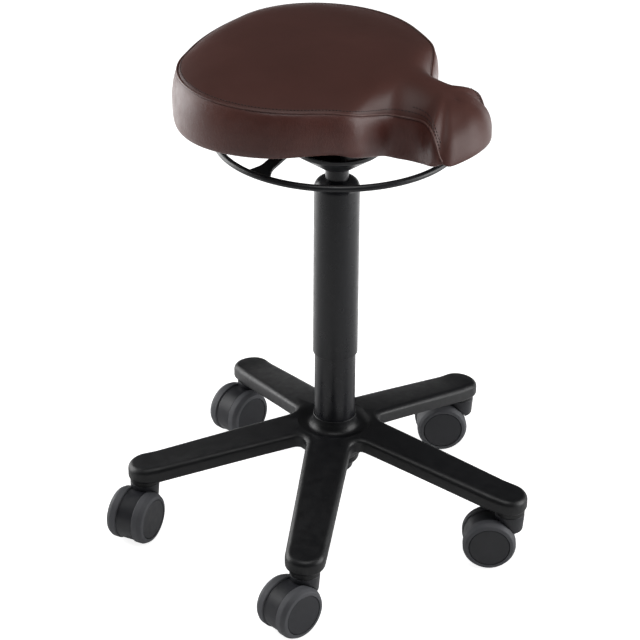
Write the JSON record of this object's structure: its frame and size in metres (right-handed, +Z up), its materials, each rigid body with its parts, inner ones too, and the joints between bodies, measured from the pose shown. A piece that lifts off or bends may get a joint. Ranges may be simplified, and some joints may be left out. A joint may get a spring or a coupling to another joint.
{
  "type": "saddle stool",
  "caption": "Height-adjustable saddle stool: leather saddle seat with a turned-down nose, ring lever, telescoping column and a star base on twin-wheel castors.",
  "frame": {"origin": "on the column's axis at floor level", "axes": "+Z up along the column, -Y forwards to the saddle's nose, +X to the sitter's left"},
  "size_m": [0.5359, 0.4893, 0.627],
  "materials": {
    "base_paint": "satin black powder coat",
    "column_paint": "semi-gloss black",
    "mechanism_paint": "satin black",
    "plate_steel": "dark phosphated steel",
    "bare_steel": "bright steel",
    "bush_plastic": "black moulded plastic",
    "leather_top": "smooth dark brown leather",
    "leather_side": "grained dark brown leather",
    "foam": "moulded foam",
    "board": "formed plywood",
    "lining": "black woven lining",
    "castor_plastic": "satin dark grey plastic",
    "castor_tread": "grey soft tread"
  },
  "bodies": {
    "base": {"five_star_base": "base_paint", "grip_rings": "bare_steel", "stand_tube": "column_paint", "guide_bush": "bush_plastic", "thrust_bearing": "bare_steel", "castor1_stem": "bare_steel", "castor2_stem": "bare_steel", "castor3_stem": "bare_steel", "castor4_stem": "bare_steel", "castor5_stem": "bare_steel"},
    "castor1_yoke": {"castor1_housing": "castor_plastic", "castor1_axle": "bare_steel"},
    "castor1_roller_left": {"castor1_wheel_left": "castor_plastic", "castor1_tread_left": "castor_tread"},
    "castor1_roller_right": {"castor1_wheel_right": "castor_plastic", "castor1_tread_right": "castor_tread"},
    "castor2_yoke": {"castor2_housing": "castor_plastic", "castor2_axle": "bare_steel"},
    "castor2_roller_left": {"castor2_wheel_left": "castor_plastic", "castor2_tread_left": "castor_tread"},
    "castor2_roller_right": {"castor2_wheel_right": "castor_plastic", "castor2_tread_right": "castor_tread"},
    "castor3_yoke": {"castor3_housing": "castor_plastic", "castor3_axle": "bare_steel"},
    "castor3_roller_left": {"castor3_wheel_left": "castor_plastic", "castor3_tread_left": "castor_tread"},
    "castor3_roller_right": {"castor3_wheel_right": "castor_plastic", "castor3_tread_right": "castor_tread"},
    "castor4_yoke": {"castor4_housing": "castor_plastic", "castor4_axle": "bare_steel"},
    "castor4_roller_left": {"castor4_wheel_left": "castor_plastic", "castor4_tread_left": "castor_tread"},
    "castor4_roller_right": {"castor4_wheel_right": "castor_plastic", "castor4_tread_right": "castor_tread"},
    "castor5_yoke": {"castor5_housing": "castor_plastic", "castor5_axle": "bare_steel"},
    "castor5_roller_left": {"castor5_wheel_left": "castor_plastic", "castor5_tread_left": "castor_tread"},
    "castor5_roller_right": {"castor5_wheel_right": "castor_plastic", "castor5_tread_right": "castor_tread"},
    "lift_rod": {"piston_rod": "bare_steel", "piston": "bare_steel", "upper_race": "bare_steel", "rod_buffer": "bush_plastic", "retaining_clip": "bare_steel"},
    "seat_carriage": {"lift_cylinder": "column_paint", "rod_guide": "bare_steel", "column_cover": "column_paint", "mechanism_housing": "mechanism_paint", "seat_plate": "plate_steel", "seat_screws": "plate_steel", "tee_nuts": "plate_steel", "seat_board": "board", "underside_lining": "lining", "foam_cushion": "foam", "leather_side_band": "leather_side", "leather_top_panel": "leather_top"},
    "lever": {"ring_lever": "mechanism_paint"},
    "valve_pin": {"release_pin": "bare_steel"}
  },
  "joints": [
    {"name": "castor1_swivel", "type": "hinge", "parent": "base", "child": "castor1_yoke", "pos_m": [0, -0.238, 0.07], "axis": [0, 0, 1], "continuous": true},
    {"name": "castor1_roll_left", "type": "hinge", "parent": "castor1_yoke", "child": "castor1_roller_left", "pos_m": [-0.00995, -0.21616, 0.0325], "axis": [-0.91, -0.4147, 0], "continuous": true},
    {"name": "castor1_roll_right", "type": "hinge", "parent": "castor1_yoke", "child": "castor1_roller_right", "pos_m": [-0.00995, -0.21616, 0.0325], "axis": [-0.91, -0.4147, 0], "continuous": true},
    {"name": "castor2_swivel", "type": "hinge", "parent": "base", "child": "castor2_yoke", "pos_m": [0.22635, -0.07355, 0.07], "axis": [0, 0, 1], "continuous": true},
    {"name": "castor2_roll_left", "type": "hinge", "parent": "castor2_yoke", "child": "castor2_roller_left", "pos_m": [0.2141, -0.05291, 0.0325], "axis": [-0.8599, -0.5105, 0], "continuous": true},
    {"name": "castor2_roll_right", "type": "hinge", "parent": "castor2_yoke", "child": "castor2_roller_right", "pos_m": [0.2141, -0.05291, 0.0325], "axis": [-0.8599, -0.5105, 0], "continuous": true},
    {"name": "castor3_swivel", "type": "hinge", "parent": "base", "child": "castor3_yoke", "pos_m": [0.13989, 0.19255, 0.07], "axis": [0, 0, 1], "continuous": true},
    {"name": "castor3_roll_left", "type": "hinge", "parent": "castor3_yoke", "child": "castor3_roller_left", "pos_m": [0.11689, 0.1994, 0.0325], "axis": [-0.2857, -0.9583, 0], "continuous": true},
    {"name": "castor3_roll_right", "type": "hinge", "parent": "castor3_yoke", "child": "castor3_roller_right", "pos_m": [0.11689, 0.1994, 0.0325], "axis": [-0.2857, -0.9583, 0], "continuous": true},
    {"name": "castor4_swivel", "type": "hinge", "parent": "base", "child": "castor4_yoke", "pos_m": [-0.13989, 0.19255, 0.07], "axis": [0, 0, 1], "continuous": true},
    {"name": "castor4_roll_left", "type": "hinge", "parent": "castor4_yoke", "child": "castor4_roller_left", "pos_m": [-0.16389, 0.19259, 0.0325], "axis": [-0.0017, -1, 0], "continuous": true},
    {"name": "castor4_roll_right", "type": "hinge", "parent": "castor4_yoke", "child": "castor4_roller_right", "pos_m": [-0.16389, 0.19259, 0.0325], "axis": [-0.0017, -1, 0], "continuous": true},
    {"name": "castor5_swivel", "type": "hinge", "parent": "base", "child": "castor5_yoke", "pos_m": [-0.22635, -0.07355, 0.07], "axis": [0, 0, 1], "continuous": true},
    {"name": "castor5_roll_left", "type": "hinge", "parent": "castor5_yoke", "child": "castor5_roller_left", "pos_m": [-0.24879, -0.06502, 0.0325], "axis": [-0.3551, -0.9348, 0], "continuous": true},
    {"name": "castor5_roll_right", "type": "hinge", "parent": "castor5_yoke", "child": "castor5_roller_right", "pos_m": [-0.24879, -0.06502, 0.0325], "axis": [-0.3551, -0.9348, 0], "continuous": true},
    {"name": "seat_swivel", "type": "hinge", "parent": "base", "child": "lift_rod", "pos_m": [0, 0, 0.075], "axis": [0, 0, 1], "continuous": true},
    {"name": "seat_height", "type": "slide", "parent": "lift_rod", "child": "seat_carriage", "axis": [0, 0, 1], "range_m": [-0.085, 0]},
    {"name": "lever_pull", "type": "hinge", "parent": "seat_carriage", "child": "lever", "pos_m": [0.025, 0, 0.532], "axis": [0, -1, 0], "range_deg": [0, 7], "stiffness_Nm_per_rad": 3, "springref_deg": -4.98},
    {"name": "valve_press", "type": "slide", "parent": "seat_carriage", "child": "valve_pin", "axis": [0, 0, -1], "range_m": [0, 0.0036]}
  ],
  "couplings": [
    {"joint": "valve_press", "follows": "lever_pull", "m_per_rad": 0.028}
  ]
}
